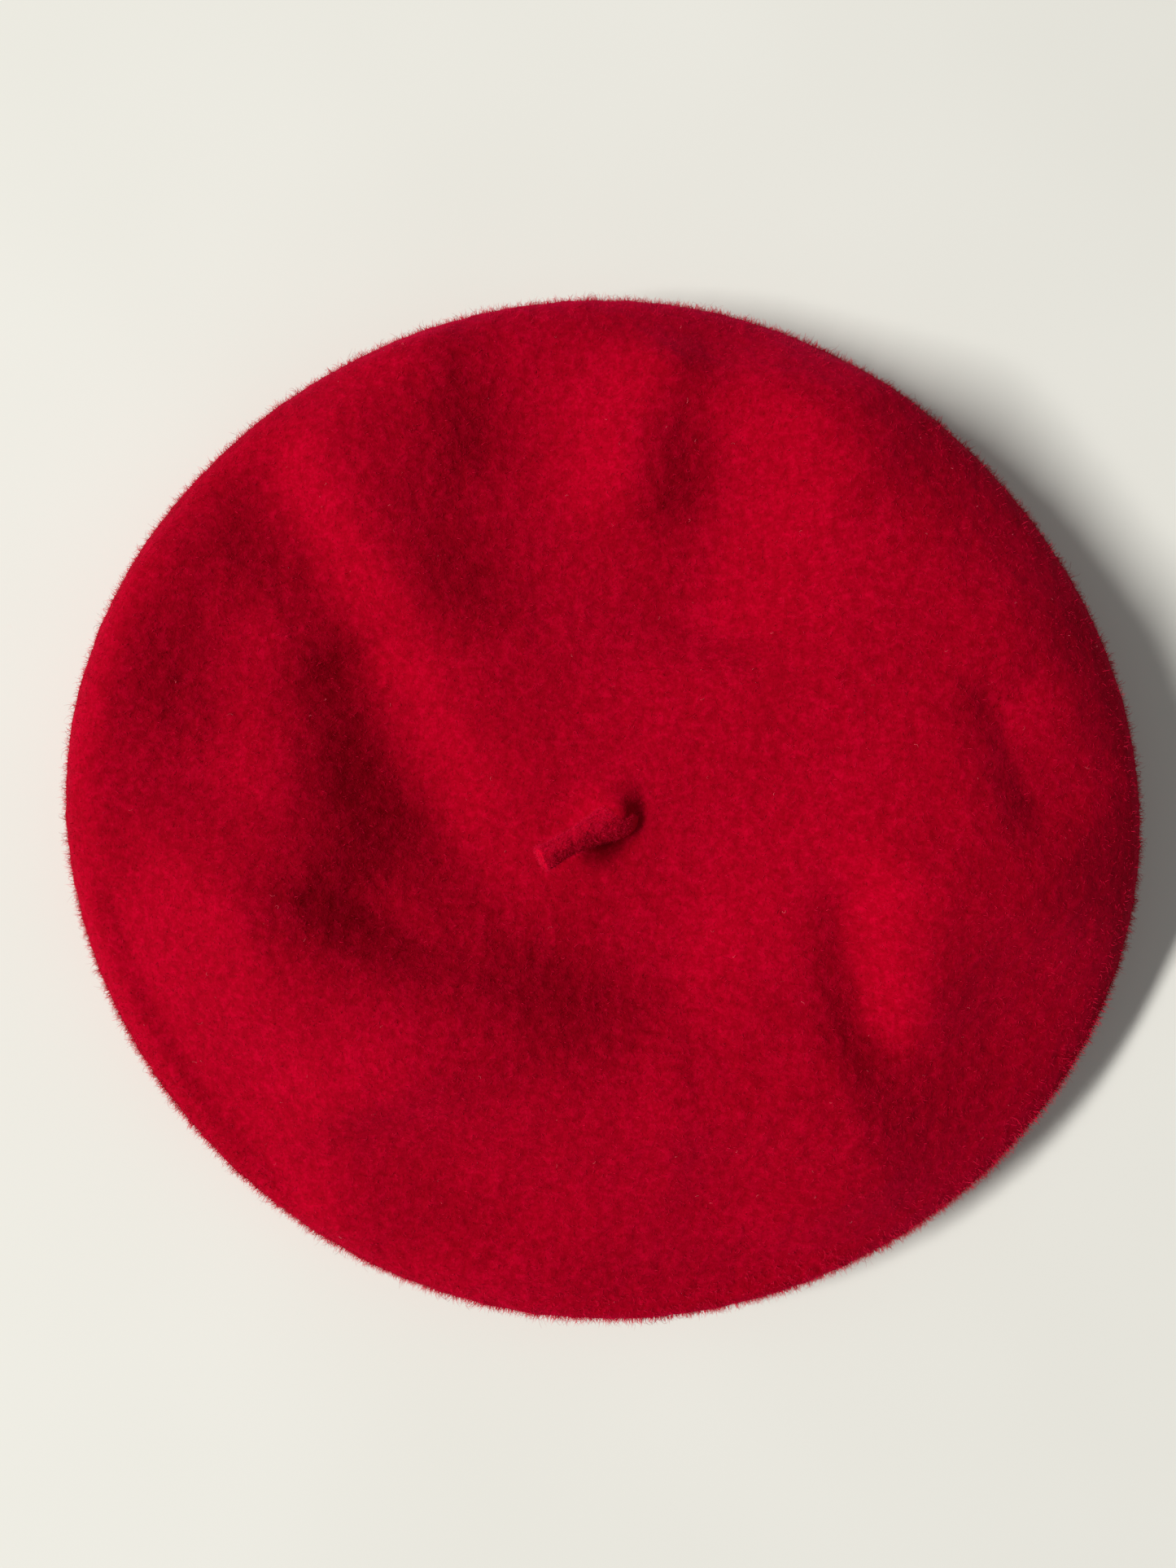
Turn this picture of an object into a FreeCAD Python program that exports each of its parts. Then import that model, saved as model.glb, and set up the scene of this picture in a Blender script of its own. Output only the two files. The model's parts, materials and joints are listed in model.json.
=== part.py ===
import FreeCAD, Part
import math
import os

# A wool-felt beret, lying on a table with its head opening down. Millimetres.
# Origin: middle of the footprint, on the table. +Z up, +X near the oval's long axis, +Y the back of the hat.

# Driving dimensions of the felt shell
MEAN_RADIUS = 140.0        # the flat beret's own radius, before it lies a little oval
LONG_RADIUS = 143.8        # half the oval's long axis
SHORT_RADIUS = 136.4       # half its short axis
OVAL_TURN = -10.6          # degrees from +X to the long axis
FELT = 2.7                 # thickness of the fulled wool
EDGE_HEIGHT = 12.0         # height of the widest line of the rolled rim
PUFF_HEIGHT = 28.0         # top of the puffed ring
PUFF_RADIUS = 108.0        # where that top is
CENTRE_HEIGHT = 23.0       # the middle of the crown sags to here
CENTRE_FLAT = 14.0         # radius of the level middle
UNDERSIDE_RADIUS = 128.0   # the underside lies on the table out to here

# Head opening and its ribbon
HEAD_RADIUS = 88.0         # 553 mm round the head
RIBBON = 0.8               # thickness of the grosgrain
RIBBON_HEIGHT = 16.0
RIBBON_FOOT = 0.4          # the ribbon's lower edge stands this far off the table
JOIN_GAP = 0.4             # slit between the ribbon's two ends

# Stalk
ROOT_PLACE = (4.0, -4.0)   # middle of the stalk's root on the crown
ROOT_RADIUS = 7.0
ROOT_TOP_RADIUS = 4.0
ROOT_HEIGHT = 1.9
STALK_RADIUS = 3.2
LEAN_DIRECTION = 203.7     # degrees from +X, the way the stalk leans
STALK_SET_OFF = 1.5        # the bend stands this far along the lean from the root's middle
START_SLOPE = 40.0         # degrees above level where the stalk leaves its root
END_SLOPE = 14.0           # and at its cut end
STALK_LENGTH = 22.6

# Labels
MAKER_LABEL = (50.0, 24.0, 0.6)    # width, height, thickness
MAKER_LABEL_MIDDLE = 44.0          # distance of its middle from the hat's middle, towards the back
CARE_LABEL = (20.0, 24.0, 0.4)     # width, free length, thickness
CARE_LABEL_PLACE = 70.0            # degrees round the ribbon
CARE_LABEL_DROP = 31.0             # degrees below level, where its free end meets the felt
CARE_PIVOT_OUT = 0.8               # the sewn edge stands this far outside the ribbon
CARE_PIVOT_HEIGHT = 15.6

# Threads
BAND_STITCHES = 92
LABEL_STITCH_PITCH = 3.2
THREAD = 0.25              # radius of the sewing thread
TACK_THREAD = 0.35         # radius of the stalk's heavier wool thread

# Clearances
RUNNING_GAP = 0.3          # between pieces that move past each other
SEWN_GAP = 0.05            # between pieces that are sewn together
TRIM_DEPTH = 0.2           # stock under the felt that is cut off to leave a true flat face

RIBBON_OUTSIDE = HEAD_RADIUS + RIBBON
TOP_OF_ROOT = CENTRE_HEIGHT + ROOT_HEIGHT
LEAN = FreeCAD.Vector(math.cos(math.radians(LEAN_DIRECTION)), math.sin(math.radians(LEAN_DIRECTION)), 0)
PIVOT = FreeCAD.Vector(*ROOT_PLACE, TOP_OF_ROOT + RUNNING_GAP + STALK_RADIUS) + LEAN * STALK_SET_OFF
UP = FreeCAD.Vector(0, 0, 1)


def at(r, z):
    """A point of a profile in the XZ plane."""
    return FreeCAD.Vector(r, 0, z)


def round_place(radius, degrees, z):
    """A point that far from the axis, at that angle from +X."""
    turn = math.radians(degrees)
    return FreeCAD.Vector(radius * math.cos(turn), radius * math.sin(turn), z)


def line(a, b):
    return Part.LineSegment(a, b).toShape()


def quarter(start, corner, end):
    """An exact quarter of an ellipse from start to end, inside corner."""
    curve = Part.BSplineCurve()
    curve.buildFromPolesMultsKnots([start, corner, end], [3, 3], [0, 1], False, 2, [1, math.sqrt(0.5), 1])
    return curve.toShape()


def crown_height(r, depth=0.0):
    """Height of the crown, or of the surface that far under it, at r before the oval is made."""
    share = min(max((r - CENTRE_FLAT) / (PUFF_RADIUS - CENTRE_FLAT), 0.0), 1.0)
    rise = share * share * (3 - 2 * share)
    return CENTRE_HEIGHT + (PUFF_HEIGHT - CENTRE_HEIGHT) * rise - depth


def crown_line(depth, inner=CENTRE_FLAT, outer=PUFF_RADIUS, steps=10):
    """The crown's curve from inner to outer, that far under its surface."""
    radii = [inner + (outer - inner) * i / steps for i in range(steps + 1)]
    curve = Part.BSplineCurve()
    curve.interpolate([at(r, crown_height(r, depth)) for r in radii])
    return curve.toShape()


def spin(edges):
    """The solid that a closed profile in the XZ plane sweeps round the Z axis."""
    face = Part.Face(Part.Wire(Part.__sortEdges__(edges)))
    return face.revolve(FreeCAD.Vector(0, 0, 0), UP, 360)


def make_oval(shape):
    """Stretches a round shape to the oval that the beret lies in."""
    turn = FreeCAD.Rotation(UP, OVAL_TURN)
    stretch = FreeCAD.Matrix()
    stretch.scale(LONG_RADIUS / MEAN_RADIUS, SHORT_RADIUS / MEAN_RADIUS, 1.0)
    away = FreeCAD.Placement(FreeCAD.Vector(), turn.inverted()).toMatrix()
    back = FreeCAD.Placement(FreeCAD.Vector(), turn).toMatrix()
    return shape.transformGeometry(back.multiply(stretch).multiply(away))


def round_radius(x, y):
    """The radius, before the oval is made, of the point that the oval moves to x, y."""
    turn = math.radians(-OVAL_TURN)
    along = x * math.cos(turn) - y * math.sin(turn)
    across = x * math.sin(turn) + y * math.cos(turn)
    return math.hypot(along * MEAN_RADIUS / LONG_RADIUS, across * MEAN_RADIUS / SHORT_RADIUS)


def thread_bar(start, end, radius):
    """One visible stitch: a straight run of thread."""
    run = end - start
    return Part.makeCylinder(radius, run.Length, start, run)


def felt_skin(depth, foot, underside_inner):
    """The felt's line that far in from its outside: crown, rolled rim and underside."""
    edge = MEAN_RADIUS - depth
    top = PUFF_HEIGHT - depth
    middle = CENTRE_HEIGHT - depth
    return [
        line(at(0, middle), at(CENTRE_FLAT, middle)),
        crown_line(depth),
        quarter(at(PUFF_RADIUS, top), at(edge, top), at(edge, EDGE_HEIGHT)),
        quarter(at(edge, EDGE_HEIGHT), at(edge, foot), at(UNDERSIDE_RADIUS, foot)),
        line(at(UNDERSIDE_RADIUS, foot), at(underside_inner, foot)),
    ]


def felt_body():
    """The seamless shell, with the stalk's raised root on its crown and the round head opening below."""
    stock_inner = HEAD_RADIUS * 0.9
    edges = felt_skin(0, -TRIM_DEPTH, stock_inner) + felt_skin(FELT, FELT, stock_inner)
    edges.append(line(at(0, CENTRE_HEIGHT), at(0, CENTRE_HEIGHT - FELT)))
    edges.append(line(at(stock_inner, -TRIM_DEPTH), at(stock_inner, FELT)))
    shell = make_oval(spin(edges))
    trim = Part.makeBox(400, 400, 10, FreeCAD.Vector(-200, -200, -10))
    opening = Part.makeCylinder(RIBBON_OUTSIDE + SEWN_GAP, FELT + 3, FreeCAD.Vector(0, 0, -1))
    sunk = 1.0
    slope = (ROOT_RADIUS - ROOT_TOP_RADIUS) / ROOT_HEIGHT
    foot = FreeCAD.Vector(*ROOT_PLACE, CENTRE_HEIGHT - sunk)
    root = Part.makeCone(ROOT_RADIUS + slope * sunk, ROOT_TOP_RADIUS, ROOT_HEIGHT + sunk, foot)
    return shell.cut(trim).cut(opening).fuse(root).removeSplitter()


def stalk():
    """The felt tail: round where it bends at its root, then one slow curve to a flat cut end."""
    bend = math.radians(START_SLOPE - END_SLOPE)
    radius = STALK_LENGTH / bend
    start = LEAN * math.cos(math.radians(START_SLOPE)) + UP * math.sin(math.radians(START_SLOPE))
    towards_centre = LEAN * math.sin(math.radians(START_SLOPE)) - UP * math.cos(math.radians(START_SLOPE))
    disc = Part.Face(Part.Wire(Part.Circle(PIVOT, start, STALK_RADIUS).toShape()))
    turn_axis = start.cross(towards_centre)
    tail = disc.revolve(PIVOT + towards_centre * radius, turn_axis, math.degrees(bend))
    ball = Part.makeSphere(STALK_RADIUS, PIVOT, start * -1, 0, 90, 360)
    return tail.fuse(ball).removeSplitter()


def stalk_stitches():
    """A knot and six tacks of wool thread that hold the stalk's root, on the inside of the crown."""
    tacks, first, last, knot = 6, 1.4, 5.6, 0.9
    level = CENTRE_HEIGHT - FELT - SEWN_GAP - TACK_THREAD
    middle = FreeCAD.Vector(*ROOT_PLACE, level)
    solids = [Part.makeSphere(knot, FreeCAD.Vector(*ROOT_PLACE, CENTRE_HEIGHT - FELT - SEWN_GAP - knot))]
    for i in range(tacks):
        way = round_place(1.0, i * 360 / tacks, 0)
        solids.append(thread_bar(middle + way * first, middle + way * last, TACK_THREAD))
    return Part.makeCompound(solids)


def sweatband():
    """The grosgrain ribbon, on edge in the head opening, with its two ends butted at the back."""
    foot = FreeCAD.Vector(0, 0, RIBBON_FOOT)
    ring = Part.makeCylinder(RIBBON_OUTSIDE, RIBBON_HEIGHT, foot)
    ring = ring.cut(Part.makeCylinder(HEAD_RADIUS, RIBBON_HEIGHT, foot))
    slit = Part.makeBox(JOIN_GAP, 10, RIBBON_HEIGHT, FreeCAD.Vector(-JOIN_GAP / 2, HEAD_RADIUS - 5, RIBBON_FOOT))
    return ring.cut(slit)


def sweatband_stitches():
    """Overcast stitches from the ribbon's outside down to the felt round the opening."""
    on_ribbon, on_felt = 2.2, 3.0
    upper = RIBBON_OUTSIDE + THREAD + SEWN_GAP
    lower = FELT + THREAD + SEWN_GAP
    solids = []
    for i in range(BAND_STITCHES):
        turn = (i + 0.5) * 360 / BAND_STITCHES
        start = round_place(upper, turn, lower + on_ribbon)
        end = round_place(upper + on_felt, turn + 0.9, lower + 0.15)
        solids.append(thread_bar(start, end, THREAD))
    return Part.makeCompound(solids)


def sweatband_join_stitches():
    """A zigzag of thread across the slit at the back, on the ribbon's outside."""
    bars, reach, tilt = 6, 2.0, 0.55
    lowest, highest = FELT + 2.6, RIBBON_FOOT + RIBBON_HEIGHT - 1.2
    out = RIBBON_OUTSIDE + THREAD + SEWN_GAP
    solids = []
    for i in range(bars):
        z = lowest + (highest - lowest) * i / (bars - 1)
        lift = tilt if i % 2 else -tilt
        solids.append(thread_bar(
            FreeCAD.Vector(-reach, out, z - lift), FreeCAD.Vector(reach, out, z + lift), THREAD))
    return Part.makeCompound(solids)


def maker_label():
    """A blank woven patch that follows the inside of the crown."""
    width, height, thick = MAKER_LABEL
    near, far = FELT + SEWN_GAP, FELT + SEWN_GAP + thick
    inner, outer = CENTRE_FLAT, PUFF_RADIUS
    edges = [
        crown_line(near),
        crown_line(far),
        line(at(inner, crown_height(inner, near)), at(inner, crown_height(inner, far))),
        line(at(outer, crown_height(outer, near)), at(outer, crown_height(outer, far))),
    ]
    corner = FreeCAD.Vector(-width / 2, MAKER_LABEL_MIDDLE - height / 2, 0)
    return make_oval(spin(edges)).common(Part.makeBox(width, height, PUFF_HEIGHT, corner))


def maker_label_stitches():
    """A row of stitches round the patch, a little in from its edge."""
    width, height, thick = MAKER_LABEL
    inset, length = 1.6, 2.1
    half_width, half_height = width / 2 - inset, height / 2 - inset
    depth = FELT + 2 * SEWN_GAP + thick + THREAD
    sides = [
        ((-half_width, -half_height), (half_width, -half_height)),
        ((half_width, -half_height), (half_width, half_height)),
        ((half_width, half_height), (-half_width, half_height)),
        ((-half_width, half_height), (-half_width, -half_height)),
    ]
    solids = []
    for (ax, ay), (bx, by) in sides:
        run = math.hypot(bx - ax, by - ay)
        count = int(run / LABEL_STITCH_PITCH)
        for i in range(count):
            ends = []
            for reach in (-length / 2, length / 2):
                share = ((i + 0.5) * run / count + reach) / run
                x = ax + (bx - ax) * share
                y = MAKER_LABEL_MIDDLE + ay + (by - ay) * share
                ends.append(FreeCAD.Vector(x, y, crown_height(round_radius(x, y), depth)))
            solids.append(thread_bar(ends[0], ends[1], THREAD))
    return Part.makeCompound(solids)


def care_label():
    """A blank satin tape, sewn by one edge behind the ribbon, with its free end lying on the felt."""
    width, length, thick = CARE_LABEL
    tape = Part.makeBox(length, width, thick, FreeCAD.Vector(0, -width / 2, -thick / 2))
    fold = Part.makeCylinder(thick / 2, width, FreeCAD.Vector(0, -width / 2, 0), FreeCAD.Vector(0, 1, 0))
    shape = tape.fuse(fold).removeSplitter()
    shape.rotate(FreeCAD.Vector(0, 0, 0), FreeCAD.Vector(0, 1, 0), CARE_LABEL_DROP)
    shape.translate(FreeCAD.Vector(RIBBON_OUTSIDE + CARE_PIVOT_OUT, 0, CARE_PIVOT_HEIGHT))
    shape.rotate(FreeCAD.Vector(0, 0, 0), UP, CARE_LABEL_PLACE)
    return shape


def care_label_stitches():
    """The row of stitches along the tape's sewn edge, at the top of the ribbon's outside."""
    count, spread, length = 6, 11.4, 1.9
    out = RIBBON_OUTSIDE + THREAD + SEWN_GAP
    half = math.degrees(length / 2 / out)
    z = CARE_PIVOT_HEIGHT + 0.5
    solids = []
    for i in range(count):
        turn = CARE_LABEL_PLACE + spread * (i / (count - 1) - 0.5)
        solids.append(thread_bar(round_place(out, turn - half, z), round_place(out, turn + half, z), THREAD))
    return Part.makeCompound(solids)


NODES = [
    felt_body, stalk, stalk_stitches, sweatband, sweatband_stitches, sweatband_join_stitches,
    maker_label, maker_label_stitches, care_label, care_label_stitches,
]

os.makedirs("parts", exist_ok=True)
for node in NODES:
    shape = node()
    shape.exportStep("parts/%s.step" % node.__name__)
    box = shape.BoundBox
    print("%-24s solids %3d valid %s volume %9.1f mm3  x %.1f..%.1f y %.1f..%.1f z %.2f..%.2f" % (
        node.__name__, len(shape.Solids), shape.isValid(), shape.Volume,
        box.XMin, box.XMax, box.YMin, box.YMax, box.ZMin, box.ZMax))
print("stalk bend at %.2f %.2f %.2f, turning about %.4f %.4f 0" % (*PIVOT, LEAN.y, -LEAN.x))
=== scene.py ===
import json
import math

import bpy
import numpy as np
from mathutils import Matrix, Vector, noise


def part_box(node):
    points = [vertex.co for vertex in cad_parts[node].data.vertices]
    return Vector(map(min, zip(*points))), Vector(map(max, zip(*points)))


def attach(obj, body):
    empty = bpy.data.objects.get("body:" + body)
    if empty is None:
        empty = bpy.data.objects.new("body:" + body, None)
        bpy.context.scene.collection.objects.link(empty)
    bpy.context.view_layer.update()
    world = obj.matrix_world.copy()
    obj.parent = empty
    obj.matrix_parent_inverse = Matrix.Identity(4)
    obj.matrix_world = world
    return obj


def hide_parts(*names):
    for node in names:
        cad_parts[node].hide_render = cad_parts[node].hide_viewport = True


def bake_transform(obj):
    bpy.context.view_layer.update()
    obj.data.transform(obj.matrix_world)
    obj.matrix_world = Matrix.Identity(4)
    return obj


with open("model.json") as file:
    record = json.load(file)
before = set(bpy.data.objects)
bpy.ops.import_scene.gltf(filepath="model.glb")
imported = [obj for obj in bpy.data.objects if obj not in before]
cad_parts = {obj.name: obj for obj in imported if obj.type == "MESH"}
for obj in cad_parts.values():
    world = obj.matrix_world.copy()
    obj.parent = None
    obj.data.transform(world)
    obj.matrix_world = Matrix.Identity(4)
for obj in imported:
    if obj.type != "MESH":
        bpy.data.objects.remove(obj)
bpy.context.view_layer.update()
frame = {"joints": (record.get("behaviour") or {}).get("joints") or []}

# The looks of a wool-felt beret that lies on a table, round its CAD frame.
# Shapes are worked out in millimetres, in the CAD's own frame, and turned into metres when a mesh is made.
MM = 0.001
TURN = 2 * math.pi


def box_mm(node):
    """A CAD node's lowest and highest corners, in millimetres."""
    low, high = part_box(node)
    return np.array(low) / MM, np.array(high) / MM


FELT_LOW, FELT_HIGH = box_mm("felt_body")
BAND_LOW, BAND_HIGH = box_mm("sweatband")
JOINTS = {joint["name"]: joint for joint in frame["joints"]}
STALK_PIVOT = np.array(JOINTS["stalk_lean"]["pos_m"]) / MM

# The felt shell
MEAN = float((FELT_HIGH - FELT_LOW)[:2].mean() / 2)   # mean radius of the outline
OUTLINE = ((2, 0.026, -21), (3, 0.004, -115), (4, 0.005, -40))   # number of waves, size, turn
FELT = 2.7                  # thickness
EDGE = 12.0                 # height of the rim's widest line
PUFF = 29.5                 # height of the puffed ring
CENTRE = 23.5               # height of the crown's middle before its folds
UNDERSIDE = 128.0           # the underside lies flat out to here
OPENING = float(BAND_HIGH[0]) + 0.05
RIM_START = ((0, 110), (30, 106), (62, 92), (90, 122), (140, 118), (180, 129), (215, 104), (245, 100),
             (270, 84), (320, 82))
RIM_SHAPE = ((0, 2.0), (90, 2.0), (160, 2.4), (215, 1.5), (270, 1.7), (320, 1.15))
RIM_CORNER = ((0, 0.36), (45, 0.38), (90, 0.45), (180, 0.5), (225, 0.45), (270, 0.38), (320, 0.42))
SEEN_FROM = (-4.2, 6.6)     # the point that the camera looks at
SEEN_SCALE = 0.045          # how much nearer the camera makes the crown look than the rim

# Folds of the crown: path, height, width on the left of the path's way, on the right, reach past the ends
FOLDS = (
    # the long valley on the left, its bank, and the puffs and dents round it
    (((-60, 34), (-56, 14), (-53, -2), (-56, -18), (-60, -26)), -8.6, 20, 15, 8),
    (((-62, 42), (-60, 12)), -2.6, 16, 12, 8),
    (((-90, 89), (-78, 69), (-66, 45)), -5.4, 9, 12, 6),
    (((-77, 94), (-65, 76), (-51, 54), (-39, 29), (-29, 6)), 4.6, 16, 9, 8),
    (((-126, 66), (-131, 30)), 3.4, 14, 8, 9),
    (((-104, 44), (-106, 8)), -3.8, 12, 14, 9),
    (((-96, -18), (-74, -42), (-52, -60)), 7.4, 60, 20, 20),
    (((-131, -28), (-124, -50), (-108, -79), (-88, -101)), -4.2, 12, 5, 10),
    (((-92, -30), (-78, -52), (-68, -78)), 5.2, 40, 12, 10),
    (((-78, -76), (-56, -91), (-26, -105)), -5.0, 18, 12, 16),
    (((-62, -92), (-52, -116)), -2.4, 16, 12, 9),
    (((-82, -88), (-74, -112)), 2.0, 42, 12, 12),
    (((-40, -3), (-24, -30), (-4, -43), (16, -48)), -5.6, 18, 12, 12),
    (((12, -58), (12, -80)), 4.0, 38, 36, 12),
    (((-18, -56), (-16, -74)), 1.8, 14, 14, 9),
    # the top
    (((-50, 122), (-46, 98)), 4.0, 10, 16, 8),
    (((-22, 106), (-20, 80), (-20, 66)), -3.8, 15, 22, 10),
    (((18, 118), (14, 108), (9, 98), (8, 84)), 5.2, 10, 9, 6),
    (((36, 98), (35, 84), (34, 66), (30, 50)), -5.8, 15, 13, 7),
    (((10, 74), (14, 46)), -5.2, 26, 16, 10),
    (((-28, 56), (-24, 30)), -2.4, 20, 14, 10),
    (((44, 112), (66, 90)), 3.4, 12, 14, 8),
    # the broad slope on the right, and the lower right
    (((66, 104), (86, 64), (110, 12), (106, -24)), 8.6, 25, 46, 14),
    (((104, 26), (108, 15), (114, 1)), -4.8, 13, 7, 6),
    (((114, 50), (118, 28)), 2.4, 14, 13, 9),
    (((66, -27), (69, -46), (71, -56)), -5.0, 7, 7, 7),
    (((76, -18), (78, -38), (79, -50)), 4.0, 17, 7, 8),
    (((78, -50), (82, -78)), 3.2, 14, 60, 12),
    (((61, -74), (66, -88), (71, -100)), 4.8, 11, 26, 8),
    # shallow streaks at the bottom, and a low rise by the stalk
    (((18, -66), (18, -96)), 0.9, 5, 5, 7),
    (((30, -96), (35, -122)), -4.6, 20, 32, 12),
    (((-18, -102), (-12, -120)), 1.2, 26, 12, 8),
    (((58, 38), (64, 4), (66, -20)), 3.4, 44, 34, 12),
    (((30, 42), (27, 14)), 2.6, 30, 24, 9),
    (((98, 20), (96, -16)), 3.2, 30, 34, 12),
)

# The stalk
STALK_ROOT = (4.0, -4.0)
ROOT_TOP = (4.0, -1.6)      # the felt rises like a tent here, round the stalk's root
ROOT_RISE = 5.4
ROOT_SPREAD = 5.2
LEAN = 208.0                # degrees from +X, the way the stalk leans
START_SLOPE, END_SLOPE = 38.0, 14.0
STALK_LENGTH = 24.0
STALK_SHIFT = (0.2, 1.9, -0.8)   # from the CAD's bend to where the soft stalk leaves its root

# The room: distances from the hat are in metres, and directions are azimuth and elevation in degrees
CAMERA_WAY = (-90, 89)
CAMERA_DISTANCE = 0.320
LENS = 27.0
WINDOW_ENDS = ((168, 42), (202, 33))
WINDOW_DISTANCE = 7
WINDOW_SIZE = (3.7, 0.6)    # metres
WINDOW_ENERGY = 690.0       # watts
ROOM_STRENGTH = 0.22
FLOOR_RADIUS = 6000.0       # millimetres, as every mesh


def smooth(t):
    t = np.clip(t, 0, 1)
    return t * t * (3 - 2 * t)


def around(values, angle):
    """Blends values that are given by direction, in degrees, round the hat."""
    top = bottom = 0
    for degrees, value in values:
        near = np.exp(9 * (np.cos(angle - math.radians(degrees)) - 1))
        top = top + near * value
        bottom = bottom + near
    return top / bottom


def outline(angle):
    """The outline's radius in that direction."""
    return MEAN * (1 + sum(size * np.cos(k * angle - math.radians(turn)) for k, size, turn in OUTLINE))


def rounded(points, steps=5):
    """A smooth line of points that a path's own points pull on."""
    p = [np.array(q, float) for q in points]
    if len(p) < 3:
        return p
    line = [p[0]]
    for i in range(1, len(p) - 1):
        a = (p[i - 1] + p[i]) / 2 if i > 1 else p[0]
        b = (p[i] + p[i + 1]) / 2 if i < len(p) - 2 else p[-1]
        for k in range(1, steps + 1):
            t = k / steps
            line.append((1 - t) ** 2 * a + 2 * t * (1 - t) * p[i] + t * t * b)
    return line


def from_path(line, x, y):
    """How far each point is to the left of a line, and how far past its ends."""
    best = np.full(x.shape, np.inf)
    side, past = np.zeros(x.shape), np.zeros(x.shape)
    last = len(line) - 2
    for i, (a, b) in enumerate(zip(line, line[1:])):
        run = math.dist(a, b)
        ux, uy = (b - a) / run
        dx, dy = x - a[0], y - a[1]
        t = dx * ux + dy * uy
        near = np.clip(t, 0, run)
        distance = np.hypot(dx - near * ux, dy - near * uy)
        left = ux * dy - uy * dx
        out = np.zeros(x.shape)
        if i == 0:
            out = np.where(t < 0, -t, out)
        if i == last:
            out = np.where(t > run, t - run, out)
        offset = np.where(out > 0, left, np.copysign(distance, left))
        closer = distance < best
        best = np.where(closer, distance, best)
        side = np.where(closer, offset, side)
        past = np.where(closer, out, past)
    return side, past


FOLD_LINES = [(rounded(path), *rest) for path, *rest in FOLDS]


def folds(x, y):
    """The height that the folds add to the crown."""
    total = np.zeros(x.shape)
    for line, height, left, right, end in FOLD_LINES:
        side, past = from_path(line, x, y)
        width = np.where(side > 0, left, right)
        total += height * np.exp(-0.5 * (side / width) ** 2 - 0.5 * (past / end) ** 2)
    return total


def rim_turn(rho, angle):
    """How much of the puff's height is left at rho, and how far the felt has turned over the rim."""
    start = around(RIM_START, angle)
    u = np.clip((rho - start) / (MEAN - start), 0, 1)
    power = u ** around(RIM_SHAPE, angle)
    return (1 - power) ** around(RIM_CORNER, angle), np.sqrt(power)


def crown(x, y, with_root=True):
    """Height of the felt's upper surface."""
    x, y = np.asarray(x, float), np.asarray(y, float)
    angle = np.arctan2(y, x)
    rho = np.hypot(x, y) / outline(angle) * MEAN
    start = around(RIM_START, angle)
    level, _ = rim_turn(rho, angle)
    inner = CENTRE + (PUFF - CENTRE) * smooth((rho - 10) / (start - 10))
    z = np.where(rho > start, EDGE + (PUFF - EDGE) * level, inner)
    keep = smooth((MEAN - rho) / 8)
    scale = 1 + SEEN_SCALE * keep
    seen_x = SEEN_FROM[0] + (x - SEEN_FROM[0]) * scale
    seen_y = SEEN_FROM[1] + (y - SEEN_FROM[1]) * scale
    z = z + folds(seen_x, seen_y) * keep
    if with_root:
        out_x, out_y = x - ROOT_TOP[0], y - ROOT_TOP[1]
        spread = ROOT_SPREAD * (1 + 0.36 * np.cos(np.arctan2(out_y, out_x) - math.radians(150)))
        z = z + ROOT_RISE * np.exp(-((np.hypot(out_x, out_y) / spread) ** 2.0))
    return z


# Meshes

def mesh_object(name, points, faces, material):
    """A mesh object from points in millimetres."""
    mesh = bpy.data.meshes.new(name)
    mesh.from_pydata((np.asarray(points) * MM).tolist(), [], np.asarray(faces).tolist()
                     if isinstance(faces, np.ndarray) else faces)
    mesh.polygons.foreach_set("use_smooth", [True] * len(mesh.polygons))
    mesh.materials.append(material)
    mesh.update()
    made = bpy.data.objects.new(name, mesh)
    bpy.context.scene.collection.objects.link(made)
    return made


def zip_rings(first, n, turn_a, second, m, turn_b):
    """Triangles between two closed rings of n and m points that start at those angles."""
    faces = []
    i = j = 0
    while i < n or j < m:
        next_a = turn_a + (i + 1) / n * TURN
        next_b = turn_b + (j + 1) / m * TURN
        a, b = first + i % n, second + j % m
        if j >= m or (i < n and next_a < next_b):
            faces.append((a, b, first + (i + 1) % n))
            i += 1
        else:
            faces.append((a, b, second + (j + 1) % m))
            j += 1
    return faces


class Shell:
    """A closed skin made of rings, from one pole to the other."""

    def __init__(self):
        self.points, self.faces = [], []
        self.last = None

    def pole(self, point):
        index = len(self.points)
        self.points.append(tuple(point))
        if self.last:
            first, count, _ = self.last
            self.faces += [(first + i, index, first + (i + 1) % count) for i in range(count)]
        self.last = (index, 1, 0.0)

    def ring(self, place, count):
        """place gives x, y and z for an array of angles."""
        index = len(self.points)
        shift = (index * 0.618 % 1) * TURN / count
        angles = shift + np.arange(count) * TURN / count
        self.points += list(zip(*(np.broadcast_to(v, count).tolist() for v in place(angles))))
        first, before, turn = self.last
        if before == 1:
            self.faces += [(first, index + i, index + (i + 1) % count) for i in range(count)]
        else:
            self.faces += zip_rings(first, before, turn, index, count, shift)
        self.last = (index, count, shift)


def count_round(radius, spacing):
    return max(6, round(TURN * radius / spacing))


def polar(radius, angle):
    return radius * np.cos(angle), radius * np.sin(angle)


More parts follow.
